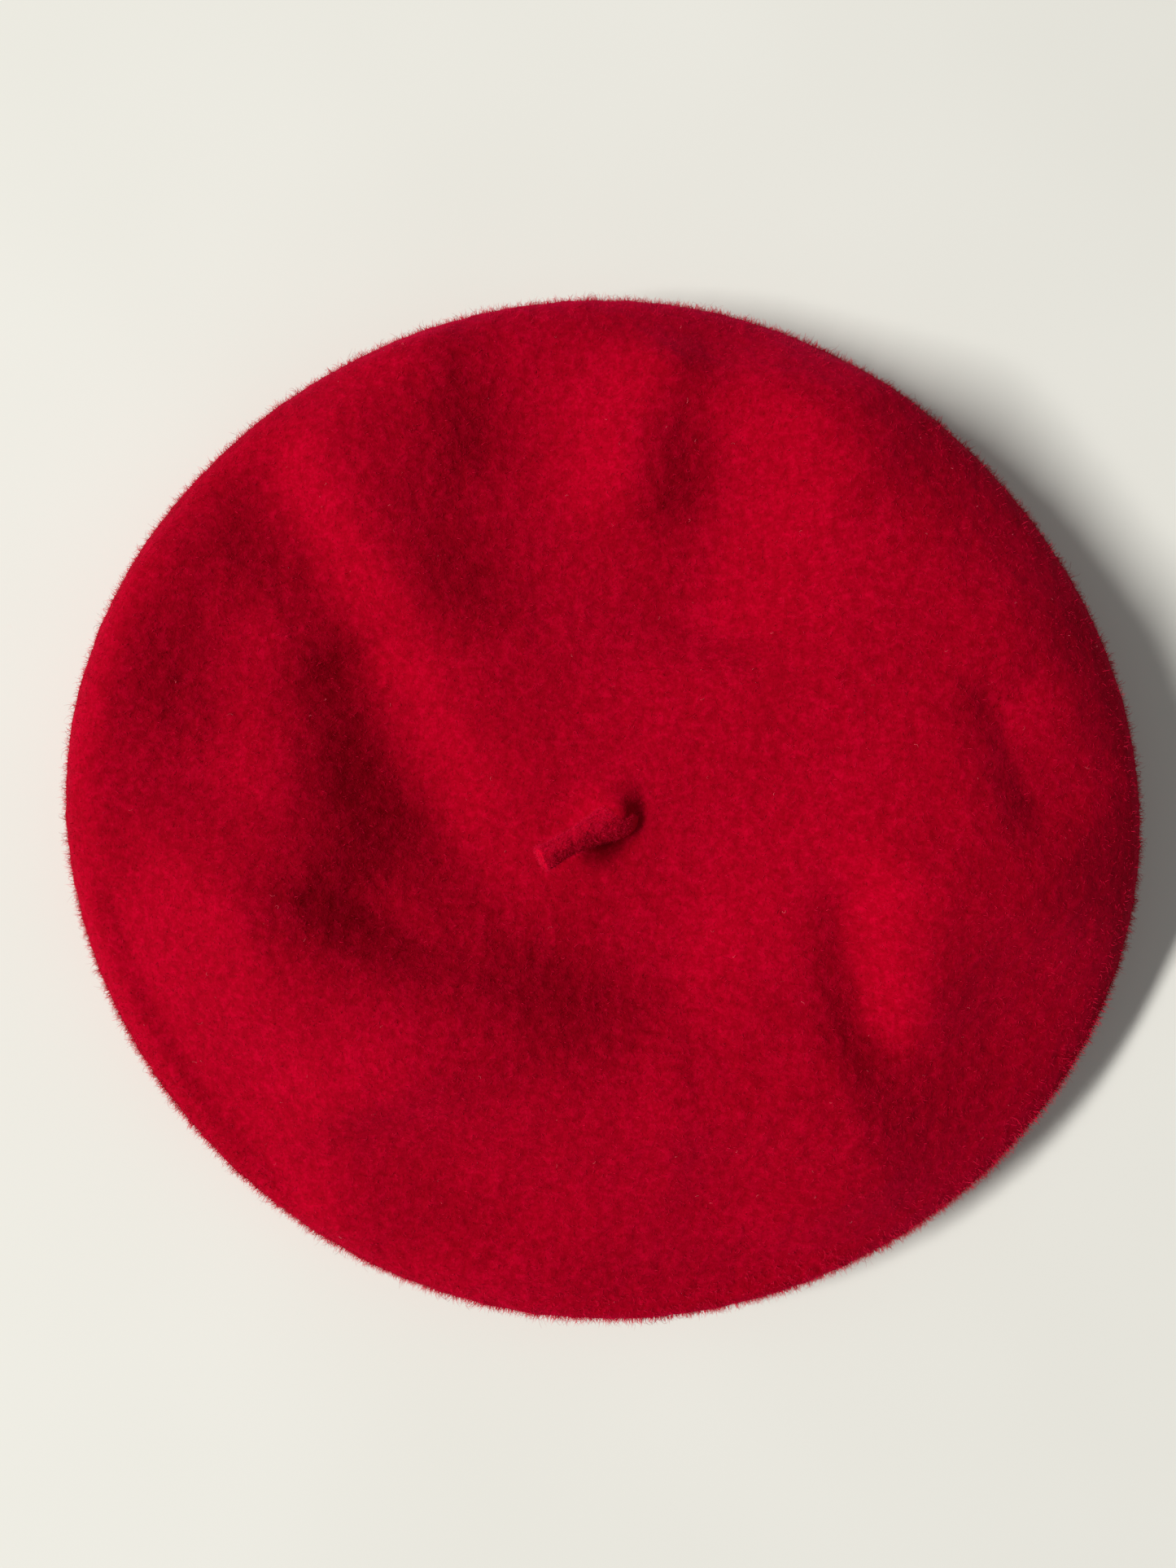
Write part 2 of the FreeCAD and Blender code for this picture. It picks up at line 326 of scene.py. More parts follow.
def felt_skin():
    """The felt's whole skin: crown, rim, underside, cut edge and the inside."""
    fine, coarse = 1.16, 2.6
    shell = Shell()

    def upper(rho, depth=0.0):
        def place(angle):
            level, tipped = rim_turn(np.full(angle.shape, rho), angle)
            x, y = polar(outline(angle) * rho / MEAN, angle)
            z = crown(x, y, with_root=depth == 0) - depth * level
            inward = 1 - depth * tipped / MEAN
            return x * inward, y * inward, z
        return place

    def lower(psi, depth=0.0):
        def place(angle):
            rho = UNDERSIDE + (MEAN - UNDERSIDE - depth) * math.cos(psi)
            x, y = polar(outline(angle) * rho / MEAN, angle)
            return x, y, EDGE - (EDGE - depth) * math.sin(psi)
        return place

    def beneath(share, z):
        """From the flat underside's outer line, at 0, to the round opening, at 1."""
        def place(angle):
            radius = outline(angle) * UNDERSIDE / MEAN * (1 - share) + OPENING * share
            x, y = polar(radius, angle)
            return x, y, z
        return place

    roll = 4.0
    steps = int((MEAN - roll) / fine)
    shell.pole((0, 0, float(crown(0.0, 0.0))))
    for i in range(1, steps + 1):
        rho = (MEAN - roll) * i / steps
        shell.ring(upper(rho), count_round(rho, fine))
    for i in range(1, 10):
        shell.ring(upper(MEAN - roll + roll * math.sin(math.pi / 2 * i / 9)), count_round(MEAN, 1.3))
    for i in range(1, 15):
        shell.ring(lower(math.pi / 2 * i / 14), count_round(MEAN, 1.3 + 0.6 * i / 14))
    for i in range(1, 20):
        shell.ring(beneath(i / 20, 0.0), count_round(MEAN - 2.3 * i, 2.1))
    cut = 0.6 / (UNDERSIDE - OPENING)
    for share, z in ((1 - cut, 0.0), (1 - 0.3 * cut, 0.18), (1, 0.6), (1, 1.35), (1, 2.1),
                     (1 - 0.3 * cut, 2.52), (1 - cut, FELT)):
        shell.ring(beneath(share, z), count_round(OPENING, 1.4))
    for i in range(1, 15):
        share = 1 - i / 14 * 0.999 - cut * (1 - i / 14)
        shell.ring(beneath(share, FELT), count_round(OPENING + 2.7 * i, coarse))
    for i in range(6, -1, -1):
        shell.ring(lower(math.pi / 2 * i / 7, FELT), count_round(MEAN, coarse))
    for i in range(4, 0, -1):
        shell.ring(upper(MEAN - roll + roll * math.sin(math.pi / 2 * i / 5), FELT), count_round(MEAN, coarse))
    steps = int((MEAN - roll) / coarse)
    for i in range(steps, 0, -1):
        rho = (MEAN - roll) * i / steps
        shell.ring(upper(rho, FELT), count_round(rho, coarse))
    shell.pole((0, 0, float(crown(0.0, 0.0, with_root=False)) - FELT))
    return np.array(shell.points), shell.faces


def clumps(points, size, seed):
    """Smooth noise from -1 to 1 at each point, in clumps of that size in millimetres."""
    shift = Vector((seed * 17.3, seed * 5.1, seed * 9.7))
    return np.array([noise.noise(Vector(p) / size + shift) for p in points])


def vertex_normals(points, faces):
    mesh = bpy.data.meshes.new("scratch")
    mesh.from_pydata(points.tolist(), [], faces)
    normals = np.zeros(len(points) * 3, np.float32)
    mesh.vertices.foreach_get("normal", normals)
    bpy.data.meshes.remove(mesh)
    return normals.reshape(-1, 3).astype(float)


def roughen(points, faces, layers, where=None):
    """Moves points along their normals by a sum of noise layers of (size, height, seed)."""
    move = sum(height * clumps(points, size, seed) for size, height, seed in layers)
    if where is not None:
        move = move * where
    return points + vertex_normals(points, faces) * move[:, None]


# Materials

def add_node(tree, kind, values=(), **settings):
    """A shader node; each value is a number, a colour or another node's output."""
    made = tree.nodes.new("ShaderNode" + kind)
    for name, value in settings.items():
        setattr(made, name, value)
    for name, value in values:
        socket = made.inputs[name]
        if isinstance(value, bpy.types.NodeSocket):
            tree.links.new(value, socket)
        else:
            socket.default_value = value
    return made


def new_material(name, values):
    """A material with one Principled shader and the constant values that it needs."""
    made = bpy.data.materials.new(name)
    made.use_nodes = True
    shader = made.node_tree.nodes["Principled BSDF"]
    for socket, value in values:
        shader.inputs[socket].default_value = value
    return made, made.node_tree, shader


def place_node(tree):
    return add_node(tree, "TexCoord").outputs["Object"]


def noise_node(tree, place, size, detail=3.0, distortion=0.0):
    """Noise with features of about that many millimetres."""
    return add_node(tree, "TexNoise", (("Vector", place), ("Scale", 1 / (size * MM)), ("Detail", detail),
                                       ("Distortion", distortion))).outputs["Fac"]


def ramp_node(tree, factor, stops):
    made = add_node(tree, "ValToRGB", (("Fac", factor),))
    ramp = made.color_ramp
    ramp.elements[0].position, ramp.elements[0].color = stops[0]
    ramp.elements[1].position, ramp.elements[1].color = stops[-1]
    for position, colour in stops[1:-1]:
        ramp.elements.new(position).color = colour
    return made.outputs["Color"]


def math_node(tree, operation, a, b):
    made = add_node(tree, "Math", operation=operation)
    for socket, value in zip(made.inputs, (a, b)):
        if isinstance(value, bpy.types.NodeSocket):
            tree.links.new(value, socket)
        else:
            socket.default_value = value
    return made.outputs[0]


def weighted(tree, *parts):
    """The sum of nodes, each times its weight."""
    products = [math_node(tree, "MULTIPLY", node, weight) for node, weight in parts]
    total = products[-1]
    for product in products[-2::-1]:
        total = math_node(tree, "ADD", product, total)
    return total


def rgb(r, g, b):
    return (r, g, b, 1.0)


def spread_value(tree, factor, low, high):
    """A value that goes from low to high as noise goes over its usual range."""
    made = add_node(tree, "MapRange", (("Value", factor), ("From Min", 0.25), ("From Max", 0.75),
                                       ("To Min", low), ("To Max", high)))
    return made.outputs[0]


def bump_node(tree, height, strength, distance):
    return add_node(tree, "Bump", (("Height", height), ("Strength", strength),
                                   ("Distance", distance * MM))).outputs["Normal"]


def felt_material(name, dark, middle, light):
    """Fulled wool: mottled, pilled and matt, with a soft bloom."""
    made, tree, shader = new_material(name, (
        ("Sheen Weight", 0.30), ("Sheen Roughness", 0.45), ("Sheen Tint", rgb(1.0, 0.002, 0.11)),
        ("Specular IOR Level", 0.015)))
    place = place_node(tree)
    broad = noise_node(tree, place, 30, 2)
    clump = noise_node(tree, place, 2.2, 4, 0.3)
    fibre = noise_node(tree, place, 0.8, 5, 0.6)
    mixed = weighted(tree, (clump, 0.45), (fibre, 0.40), (broad, 0.15))
    colour = ramp_node(tree, mixed, ((0.35, dark), (0.50, middle), (0.63, light)))
    tree.links.new(colour, shader.inputs["Base Color"])
    tree.links.new(spread_value(tree, clump, 0.82, 0.96), shader.inputs["Roughness"])
    fine = noise_node(tree, place, 0.33, 4, 0.8)
    height = weighted(tree, (clump, 0.9), (fibre, 0.55), (fine, 0.25))
    tree.links.new(bump_node(tree, height, 0.60, 0.45), shader.inputs["Normal"])
    return made


def plain_fibre(name, colour, sheen=0.2):
    """A single wool fibre's colour; fibres are too fine for any pattern of their own."""
    return new_material(name, (("Base Color", colour), ("Roughness", 0.8), ("Sheen Weight", sheen),
                               ("Sheen Tint", rgb(1.0, 0.05, 0.12)), ("Specular IOR Level", 0.04)))[0]


FELT_MATERIAL = felt_material("wool_felt", rgb(0.228, 0.0001, 0.0045), rgb(0.318, 0.0001, 0.0088),
                              rgb(0.425, 0.0003, 0.0160))

# Lines of thread and other swept shapes

def frames_along(path):
    """For each point of a path: its direction and two directions across it that never spin."""
    path = np.asarray(path, float)
    ahead = np.gradient(path, axis=0)
    ahead /= np.linalg.norm(ahead, axis=1)[:, None]
    start = np.cross(ahead[0], (0.31, 0.17, 0.93))
    across = [start / np.linalg.norm(start)]
    for way in ahead[1:]:
        turned = across[-1] - way * np.dot(across[-1], way)
        across.append(turned / np.linalg.norm(turned))
    across = np.array(across)
    return ahead, across, np.cross(ahead, across)


def tube(path, radii, sides=6):
    """A closed tube along a path, with a rounded end at each end."""
    path = np.asarray(path, float)
    radii = np.broadcast_to(np.asarray(radii, float), len(path))
    ahead, across, up = frames_along(path)
    angles = np.arange(sides) / sides * TURN
    ring = np.cos(angles)[None, :, None] * across[:, None] + np.sin(angles)[None, :, None] * up[:, None]
    points = (path[:, None] + ring * radii[:, None, None]).reshape(-1, 3)
    first, last = path[0] - ahead[0] * radii[0] * 0.5, path[-1] + ahead[-1] * radii[-1] * 0.5
    points = np.vstack([points, first, last])
    faces = []
    for i in range(len(path) - 1):
        for k in range(sides):
            a, b = i * sides + k, i * sides + (k + 1) % sides
            faces.append((a, b, b + sides, a + sides))
    end, tip = (len(path) - 1) * sides, len(points) - 2
    for k in range(sides):
        faces.append((tip, (k + 1) % sides, k))
        faces.append((tip + 1, end + k, end + (k + 1) % sides))
    return points, faces


def joined(parts):
    """One set of points and faces from several."""
    points, faces, count = [], [], 0
    for part_points, part_faces in parts:
        points.append(part_points)
        faces += [tuple(count + i for i in face) for face in part_faces]
        count += len(part_points)
    return np.vstack(points), faces


def resampled(path, step):
    """A path's points again, evenly spaced."""
    path = np.asarray(path, float)
    lengths = np.r_[0, np.cumsum(np.linalg.norm(np.diff(path, axis=0), axis=1))]
    count = max(3, int(lengths[-1] / step) + 1)
    even = np.linspace(0, lengths[-1], count)
    return np.stack([np.interp(even, lengths, path[:, k]) for k in range(3)], axis=1)


def twisted_thread(path, radius, sides=6):
    """A thread of twisted plies along a path."""
    plies, pitch = 2, radius * 7
    line = resampled(path, radius * 0.9)
    _, across, up = frames_along(line)
    run = np.arange(len(line)) * np.linalg.norm(line[1] - line[0])
    ends = np.minimum(1, np.minimum(np.arange(len(line)), np.arange(len(line))[::-1]) / 2 * 0.4 + 0.6)
    parts = []
    for ply in range(plies):
        turn = run / pitch * TURN + ply / plies * TURN
        offset = (np.cos(turn)[:, None] * across + np.sin(turn)[:, None] * up) * radius * 0.46
        parts.append(tube(line + offset, radius * 0.54 * ends, sides))
    return joined(parts)


def dressed(made, body, slot, *nodes):
    """Says which body a piece rides on and the CAD nodes that it stands for; its slot is not used."""
    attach(made, body)
    if nodes:
        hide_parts(*nodes)
    return made


# The felt shell

points, faces = felt_skin()
upper_side = smooth((points[:, 2] - 1.0) / 6.0)
points = roughen(points, faces, ((5.5, 0.22, 1), (2.5, 0.26, 2)), 0.15 + 0.85 * upper_side)
points[:, 2] = np.maximum(points[:, 2], 0.01)
dressed(mesh_object("felt_shell", points, faces, FELT_MATERIAL), "beret", "wool_felt", "felt_body")
FELT_SKIN = points, np.array(faces)

# The stalk

LEAN_WAY = np.array((math.cos(math.radians(LEAN)), math.sin(math.radians(LEAN)), 0))


def stalk_line():
    """The stalk's centreline from inside its root to the middle of its cut end."""
    root = np.array((*ROOT_TOP, float(crown(*ROOT_TOP, with_root=False)) - 0.7 * FELT))
    place = STALK_PIVOT + STALK_SHIFT
    line = [root, root * 0.55 + place * 0.45 + (0.5, 0.2, 0)]
    steps = 24
    for i in range(steps + 1):
        line.append(place)
        slope = math.radians(END_SLOPE + (START_SLOPE - END_SLOPE) * (1 - i / steps) ** 1.3)
        way = LEAN_WAY * math.cos(slope) + np.array((0, 0, math.sin(slope)))
        place = place + way * STALK_LENGTH / steps
    return resampled(line, 0.42)


def stalk_skin():
    line = stalk_line()
    ahead, across, up = frames_along(line)
    run = np.r_[0, np.cumsum(np.linalg.norm(np.diff(line, axis=0), axis=1))]
    share = run / run[-1]
    radius = 2.85 + 2.6 * np.exp(-((run / 9.0) ** 2)) + 0.35 * smooth((share - 0.75) / 0.25)
    sides, edge = 84, 0.7
    shell = Shell()
    shell.pole(line[0])

    def ring(centre, size, a, b):
        def place(angle):
            crease = 1 - 0.045 * np.exp(-((np.angle(np.exp(1j * (angle - 2.2))) / 0.35) ** 2))
            oval = 1 + 0.03 * np.cos(2 * angle)
            out = np.cos(angle)[:, None] * a + np.sin(angle)[:, None] * b
            return (centre + out * (size * crease * oval)[:, None]).T
        return place

    # seen from the root, the ring's angles must run the other way for its faces to look out
    for k in range(1, 8):
        shell.ring(ring(line[0], radius[0] * k / 8, across[0], -up[0]), sides // 2)
    for i in range(len(line) - 2):
        shell.ring(ring(line[i], radius[i], across[i], -up[i]), sides)
    for k in range(1, 5):
        t = math.pi / 2 * k / 4
        centre = line[-3] + ahead[-1] * edge * math.sin(t)
        shell.ring(ring(centre, radius[-1] - edge + edge * math.cos(t), across[-1], -up[-1]), sides)
    end = line[-3] + ahead[-1] * edge
    for k in range(1, 10):
        reach = 1 - k / 10
        centre = end + ahead[-1] * 0.25 * (1 - reach * reach)
        shell.ring(ring(centre, (radius[-1] - edge) * reach, across[-1], -up[-1]), max(8, int(sides * reach)))
    shell.pole(end + ahead[-1] * 0.25)
    return np.array(shell.points), shell.faces


points, faces = stalk_skin()
points = roughen(points, faces, ((4.0, 0.16, 5), (1.7, 0.17, 6), (0.9, 0.10, 7)))
STALK_SKIN = points, np.array(faces)
# The stalk's felt is a lighter copy of the crown's felt. This is painted light that brightens the stalk's
# flanks where they face away from the window.
TAIL_PAINTED_LIGHT_MATERIAL = felt_material("wool_felt_tail_painted_light", rgb(0.340, 0.0004, 0.0090), rgb(0.500, 0.0008, 0.0170),
                              rgb(0.660, 0.0020, 0.0320))
stalk = mesh_object("felt_stalk", points, faces, TAIL_PAINTED_LIGHT_MATERIAL)
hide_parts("stalk")
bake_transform(stalk)

# The stalk's tacks, on the inside of the crown

def ceiling(x, y):
    """Height of the crown's inner surface."""
    return crown(x, y, with_root=False) - FELT


WOOL_THREAD = felt_material("wool_thread", rgb(0.16, 0.0002, 0.0040), rgb(0.27, 0.0004, 0.0070),
                            rgb(0.36, 0.0008, 0.0110))


def stalk_tacks():
    """A knot and six tacks of wool thread that hold the stalk's root."""
    root_x, root_y = STALK_ROOT
    parts = []
    for k in range(6):
        turn = k * TURN / 6 + 0.12 * math.sin(5 * k)
        reach = 5.4 + 0.5 * math.sin(3 * k + 1)
        path = []
        for share in np.linspace(0, 1, 9):
            out = 0.9 + (reach - 0.9) * share
            x, y = root_x + out * math.cos(turn + 0.1 * share), root_y + out * math.sin(turn + 0.1 * share)
            path.append((x, y, float(ceiling(x, y)) - 0.42 + 0.35 * share ** 6))
        parts.append(twisted_thread(path, 0.36))
    top = float(ceiling(root_x, root_y)) - 1.0
    for k, size in enumerate((0.85, 0.7, 0.62)):
        loop = [(root_x + size * math.cos(a + k), root_y + size * math.sin(a + k) * (1 - 0.2 * k),
                 top + 0.35 * math.sin(2 * a + 2 * k) + 0.22 * k) for a in np.linspace(0, 5.6, 26)]
        parts.append(twisted_thread(loop, 0.34))
    return joined(parts)


dressed(mesh_object("stalk_tacks", *stalk_tacks(), WOOL_THREAD), "beret", "wool_thread", "stalk_stitches")

# The sweatband: a grosgrain ribbon and its threads

BAND_INSIDE = float(BAND_HIGH[0]) - 0.8
BAND_OUTSIDE = float(BAND_HIGH[0])
BAND_FOOT, BAND_TOP = float(BAND_LOW[2]), float(BAND_HIGH[2])
RIBS = 700


def ribbon_skin():
    """Woven ribs across the ribbon, a firm edge along its top and foot, and a butted join at the back."""
    per_rib = 5
    count = RIBS * per_rib
    gap = 0.2 / BAND_OUTSIDE
    start = math.pi / 2 + gap
    angles = start + np.linspace(0, TURN - 2 * gap, count)
    rib = np.abs(np.sin(np.arange(count) * math.pi / per_rib))
    levels = np.array((0.0, 0.35, 0.8, 1.2, 4.0, 8.0, 12.0, 14.8, 15.2, 15.65, 16.0)) / 16
    height = BAND_TOP - BAND_FOOT
    middle = (BAND_INSIDE + BAND_OUTSIDE) / 2
    rows = []
    for inner in (False, True):
        side = -1 if inner else 1
        for level in (levels if not inner else levels[::-1]):
            edge = min(level, 1 - level) * height
            thick = 0.40 if edge > 0.3 else 0.22
            selvedge = 0.5 if edge < 1.0 else 1.0
            depth = thick - 0.10 * (1 - rib) * selvedge - 0.03
            wave = 0.10 * np.sin(angles * 7 + 1) * level
            radius = middle + side * depth + wave * 0.5
            z = BAND_FOOT + level * height + 0.05 * (rib - 0.5) * (edge < 0.3) + np.zeros(count)
            rows.append(np.stack([radius * np.cos(angles), radius * np.sin(angles), z], axis=1))
    points = np.vstack(rows)
    total = len(rows)
    faces = []
    for r in range(total):
        below, above = r * count, (r + 1) % total * count
        for i in range(count - 1):
            faces.append((below + i, below + i + 1, above + i + 1, above + i))
    faces.append(tuple(r * count for r in range(total)))
    faces.append(tuple(r * count + count - 1 for r in reversed(range(total))))
    return points, faces


def woven_material(name, dark, light, across, along, roughness, sheen, bump):
    """Threads of two directions: across and along are the thread sizes in millimetres on the Object axes."""
    made, tree, shader = new_material(name, (("Sheen Weight", sheen), ("Sheen Roughness", 0.35),
                                             ("Specular IOR Level", 0.35)))
    place = place_node(tree)
    size = TURN / MM
    warp = add_node(tree, "TexWave", (("Vector", place), ("Scale", size / across / 20), ("Distortion", 0.6),
                                      ("Detail", 2.0)), bands_direction="X").outputs["Fac"]
    weft = add_node(tree, "TexWave", (("Vector", place), ("Scale", size / along / 20), ("Distortion", 0.6),
                                      ("Detail", 2.0)), bands_direction="Y").outputs["Fac"]
    weave = math_node(tree, "MULTIPLY", warp, weft)
    tone = noise_node(tree, place, 9, 3)
    mixed = weighted(tree, (weave, 0.5), (tone, 0.5))
    tree.links.new(ramp_node(tree, mixed, ((0.25, dark), (0.75, light))), shader.inputs["Base Color"])
    tree.links.new(spread_value(tree, tone, roughness - 0.06, roughness + 0.06), shader.inputs["Roughness"])
    tree.links.new(bump_node(tree, weave, bump, 0.12), shader.inputs["Normal"])
    return made


def ribbed_material():
    """Grosgrain: fine silky ribs whose warp threads catch the light."""
    made, tree, shader = new_material("grosgrain", (("Sheen Weight", 0.25), ("Sheen Roughness", 0.3),
                                                    ("Specular IOR Level", 0.4)))
    place = place_node(tree)
    ring = add_node(tree, "TexWave", (("Vector", place), ("Scale", 800.0), ("Distortion", 1.2),
                                      ("Detail", 2.0)), bands_direction="Z").outputs["Fac"]
    tone = noise_node(tree, place, 6, 4)
    mixed = weighted(tree, (ring, 0.35), (tone, 0.65))
    colour = ramp_node(tree, mixed, ((0.25, rgb(0.012, 0.0035, 0.0045)), (0.75, rgb(0.030, 0.010, 0.012))))
    tree.links.new(colour, shader.inputs["Base Color"])
    tree.links.new(spread_value(tree, tone, 0.46, 0.62), shader.inputs["Roughness"])
    tree.links.new(bump_node(tree, ring, 0.35, 0.08), shader.inputs["Normal"])
    return made


def thread_material(name, dark, light):
    made, tree, shader = new_material(name, (("Sheen Weight", 0.2), ("Specular IOR Level", 0.45)))
    place = place_node(tree)
    tone = noise_node(tree, place, 0.5, 3)
    tree.links.new(ramp_node(tree, tone, ((0.3, dark), (0.7, light))), shader.inputs["Base Color"])
    tree.links.new(spread_value(tree, tone, 0.42, 0.58), shader.inputs["Roughness"])
    tree.links.new(bump_node(tree, tone, 0.4, 0.05), shader.inputs["Normal"])
    return made


GROSGRAIN = ribbed_material()
SEWING_THREAD = thread_material("sewing_thread", rgb(0.035, 0.004, 0.006), rgb(0.075, 0.010, 0.014))
ribbon = dressed(mesh_object("grosgrain_ribbon", *ribbon_skin(), GROSGRAIN), "beret", "grosgrain",
                 "sweatband")


def overcast_stitches():
    """Slanting stitches from the ribbon's outside over to the felt, 92 of them round the opening."""
    count = 92
    parts = []
    for k in range(count):
        turn = (k + 0.5) * TURN / count
        lean = math.radians(0.9 + 0.25 * math.sin(k * 2.4))
        path = []
        for share in np.linspace(0, 1, 9):
            out = BAND_OUTSIDE + 0.22 + 3.0 * smooth(share * 1.1 - 0.1)
            z = 5.1 - 2.15 * smooth(share * 1.15) + 0.35 * math.sin(math.pi * share)
            if share == 0:
                out -= 0.15
            if share == 1:
                z -= 0.25
            x, y = polar(out, turn + lean * share)
            path.append((x, y, z))
        parts.append(twisted_thread(path, 0.25, sides=5))
    return joined(parts)


def join_zigzag():
    """The zigzag across the ribbon's butted ends."""
    parts = []
    bars = 6
    out = BAND_OUTSIDE + 0.24
    for k in range(bars):
        z = 5.3 + (15.2 - 5.3) * k / (bars - 1)
        lift = 0.5 if k % 2 else -0.5
        path = []
        for share in np.linspace(-1, 1, 9):
            x = 2.0 * share
            y = math.sqrt(out * out - x * x) - 0.18 * abs(share) ** 5
            path.append((x, y, z + lift * share))
        parts.append(twisted_thread(path, 0.25, sides=5))
    return joined(parts)


dressed(mesh_object("ribbon_overcast", *overcast_stitches(), SEWING_THREAD), "beret", "sewing_thread",
        "sweatband_stitches")
dressed(mesh_object("ribbon_join_zigzag", *join_zigzag(), SEWING_THREAD), "beret", "sewing_thread",
        "sweatband_join_stitches")

# The blank woven label under the crown

LABEL_LOW, LABEL_HIGH = box_mm("maker_label")
LABEL_MIDDLE = (LABEL_LOW + LABEL_HIGH) / 2
LABEL_SIZE = LABEL_HIGH - LABEL_LOW


def patch_faces(rows, columns, turned=False):
    """Faces of a thin patch whose points are one side's rows, then the other side's."""
    n = rows * columns
    faces = []
    for r in range(rows - 1):
        for c in range(columns - 1):
            a = r * columns + c
            faces.append((a, a + 1, a + columns + 1, a + columns))
            faces.append((n + a, n + a + columns, n + a + columns + 1, n + a + 1))
    rim = ([c for c in range(columns)] + [r * columns + columns - 1 for r in range(1, rows)]
           + [(rows - 1) * columns + c for c in range(columns - 2, -1, -1)]
           + [r * columns for r in range(rows - 2, 0, -1)])
    for a, b in zip(rim, rim[1:] + rim[:1]):
        faces.append((a, n + a, n + b, b))
    return [(face[0], *face[:0:-1]) for face in faces] if turned else faces


def label_skin():
    """A thin patch that follows the crown, with a turned edge, a plain woven frame and no lettering."""
    columns, rows = 126, 62
    thick, gap = 0.55, 0.12
    u = np.linspace(-1, 1, columns)
    v = np.linspace(-1, 1, rows)
    grid_u, grid_v = np.meshgrid(u, v)
    x = LABEL_MIDDLE[0] + grid_u * LABEL_SIZE[0] / 2
    y = LABEL_MIDDLE[1] + grid_v * LABEL_SIZE[1] / 2
    from_edge = np.minimum((1 - np.abs(grid_u)) * LABEL_SIZE[0] / 2, (1 - np.abs(grid_v)) * LABEL_SIZE[1] / 2)
    roll = np.clip(from_edge / 0.5, 0, 1)
    turned = 0.10 * np.exp(-((from_edge - 1.0) / 1.0) ** 4)
    frame_band = 0.07 * np.exp(-((from_edge - 3.4) / 0.35) ** 2)
    weave = 0.035 * np.sin(x * TURN / 1.6) * np.sin(y * TURN / 1.6)
    above = ceiling(x, y) - gap
    half = 0.5 * thick * np.sqrt(1 - (1 - roll) ** 2)
    middle = above - thick / 2
    top = np.stack([x, y, middle + half], axis=2).reshape(-1, 3)
    under = np.stack([x, y, middle - half - (turned + frame_band + weave) * roll], axis=2).reshape(-1, 3)
    return np.vstack([top, under]), patch_faces(rows, columns)


def label_stitches():
    """A row of stitches a little in from the label's edge."""
    inset, length, pitch = 1.6, 2.1, 3.2
    half_x, half_y = LABEL_SIZE[0] / 2 - inset, LABEL_SIZE[1] / 2 - inset
    corners = [(-half_x, -half_y), (half_x, -half_y), (half_x, half_y), (-half_x, half_y)]
    parts = []
    for (ax, ay), (bx, by) in zip(corners, corners[1:] + corners[:1]):
        run = math.hypot(bx - ax, by - ay)
        count = int(run / pitch)
        for k in range(count):
            path = []
            for share in np.linspace(-1, 1, 7):
                t = ((k + 0.5) * run / count + share * length / 2) / run
                x = LABEL_MIDDLE[0] + ax + (bx - ax) * t
                y = LABEL_MIDDLE[1] + ay + (by - ay) * t
                path.append((x, y, float(ceiling(x, y)) - 0.95 + 0.28 * share ** 4))
            parts.append(twisted_thread(path, 0.2, sides=5))
    return joined(parts)


WOVEN_LABEL = woven_material("woven_label", rgb(0.50, 0.45, 0.36), rgb(0.74, 0.69, 0.58), 0.8, 0.8,
                             0.62, 0.15, 0.5)
LABEL_THREAD = thread_material("label_thread", rgb(0.45, 0.005, 0.012), rgb(0.60, 0.012, 0.025))
label = dressed(mesh_object("woven_label", *label_skin(), WOVEN_LABEL), "beret", "woven_label", "maker_label")
dressed(mesh_object("label_stitches", *label_stitches(), LABEL_THREAD), "beret", "label_thread",
        "maker_label_stitches")

# The blank satin care tape, sewn behind the ribbon

TAPE_PIVOT = np.array(JOINTS["care_label_flip"]["pos_m"]) / MM
TAPE_WAY = TAPE_PIVOT * (1, 1, 0) / np.linalg.norm(TAPE_PIVOT[:2])
TAPE_ACROSS = np.array((-TAPE_WAY[1], TAPE_WAY[0], 0))
TAPE_DROP = math.radians(31)


def tape_point(out, across, up):
    """A point of the tape: out along it, across it, and up from its face."""
    way = TAPE_WAY * math.cos(TAPE_DROP) - np.array((0, 0, math.sin(TAPE_DROP)))
    face = TAPE_WAY * math.sin(TAPE_DROP) + np.array((0, 0, math.cos(TAPE_DROP)))
    return TAPE_PIVOT + way * out + TAPE_ACROSS * across + face * up


def tape_skin():
    """Soft satin with a turned edge where it is sewn, a slight curl and a heat-cut free end."""
    length, width, thick = 24.0, 20.0, 0.32
    along = np.linspace(-0.1, length - 0.1, 61)
    across = np.linspace(-width / 2, width / 2, 49)
    grid_s, grid_t = np.meshgrid(along, across, indexing="ij")
    curl = 0.45 * np.sin(grid_s / length * math.pi) + 0.25 * (grid_t / 10) ** 2 * (grid_s / length)
    curl = curl + 0.06 * np.sin(grid_t * 1.1 + grid_s * 0.3)
    from_edge = np.minimum(np.minimum(grid_s + 0.1, length - 0.1 - grid_s), width / 2 - np.abs(grid_t))
    half = thick / 2 * np.sqrt(1 - (1 - np.clip(from_edge / 0.3, 0, 1)) ** 2)
    hem = 0.14 * (1 - smooth((grid_s - 3.2) / 0.5)) * np.clip(from_edge / 0.3, 0, 1)
    rows, columns = grid_s.shape
    points = [tape_point(s, t, c + h + m) for s, t, c, h, m in
              zip(grid_s.ravel(), grid_t.ravel(), curl.ravel(), half.ravel(), hem.ravel())]
    points += [tape_point(s, t, c - h) for s, t, c, h in
               zip(grid_s.ravel(), grid_t.ravel(), curl.ravel(), half.ravel())]
    return np.array(points), patch_faces(rows, columns, turned=True)


